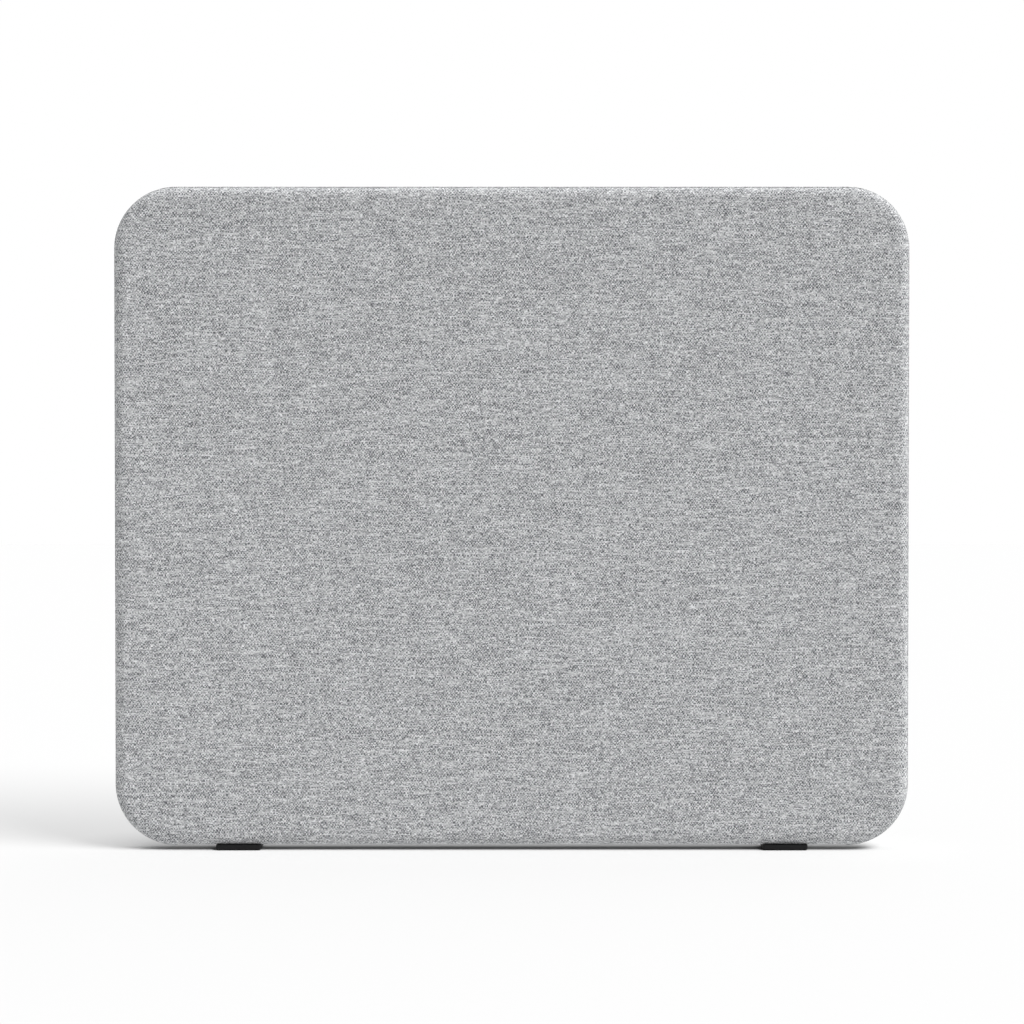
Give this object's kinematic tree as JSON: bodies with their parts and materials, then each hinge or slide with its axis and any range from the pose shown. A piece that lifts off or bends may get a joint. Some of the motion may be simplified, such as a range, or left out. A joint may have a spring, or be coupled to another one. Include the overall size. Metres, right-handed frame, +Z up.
{
  "type": "acoustic divider screen",
  "caption": "Low fabric-covered acoustic divider with rounded corners and piped edge, on two low feet, with a zip in its bottom edge.",
  "frame": {"origin": "on the floor, under the middle of the screen", "axes": "+X along the width to the right as seen from the front, +Y through the thickness to the rear, +Z up"},
  "size_m": [1.2, 0.04, 1],
  "materials": {
    "cover_fabric": "heather grey melange weave",
    "cotton_cord": "twisted cotton",
    "felt": "pressed polyester felt",
    "wadding": "soft polyester wadding",
    "pine": "planed, unvarnished",
    "plywood": "sanded birch plywood",
    "beech": "turned, unvarnished",
    "hardboard": "smooth pressed board",
    "batt": "dense polyester fibre",
    "zip_tape": "woven polyester tape",
    "zip_teeth": "moulded acetal",
    "zip_slider": "satin enamel",
    "foot_plastic": "fine moulded grain",
    "pad_rubber": "matt",
    "screw_steel": "zinc plated",
    "insert_brass": "turned"
  },
  "bodies": {
    "screen": {"front_cover": "cover_fabric", "rear_cover": "cover_fabric", "edge_piping": "cover_fabric", "piping_cord": "cotton_cord", "front_felt": "felt", "rear_felt": "felt", "edge_wadding": "wadding", "top_rail": "pine", "bottom_rail": "pine", "left_stile": "pine", "right_stile": "pine", "centre_stud": "pine", "corner_block_top_left": "plywood", "corner_block_top_right": "plywood", "corner_block_bottom_left": "plywood", "corner_block_bottom_right": "plywood", "frame_dowels": "beech", "centre_board_left": "hardboard", "centre_board_right": "hardboard", "batt_front_left": "batt", "batt_front_right": "batt", "batt_rear_left": "batt", "batt_rear_right": "batt", "zip_tape_front": "zip_tape", "zip_tape_rear": "zip_tape", "zip_teeth_front": "zip_teeth", "zip_teeth_rear": "zip_teeth", "zip_end_stops": "zip_teeth", "foot_left": "foot_plastic", "foot_right": "foot_plastic", "foot_pad_left": "pad_rubber", "foot_pad_right": "pad_rubber", "foot_screws": "screw_steel", "foot_inserts": "insert_brass"},
    "zip_slider": {"zip_slider": "zip_slider"}
  },
  "joints": [
    {"name": "zip_run", "type": "slide", "parent": "screen", "child": "zip_slider", "axis": [-1, 0, 0], "range_m": [0, 0.712], "deforming": ["zip_teeth_front", "zip_teeth_rear"]}
  ]
}
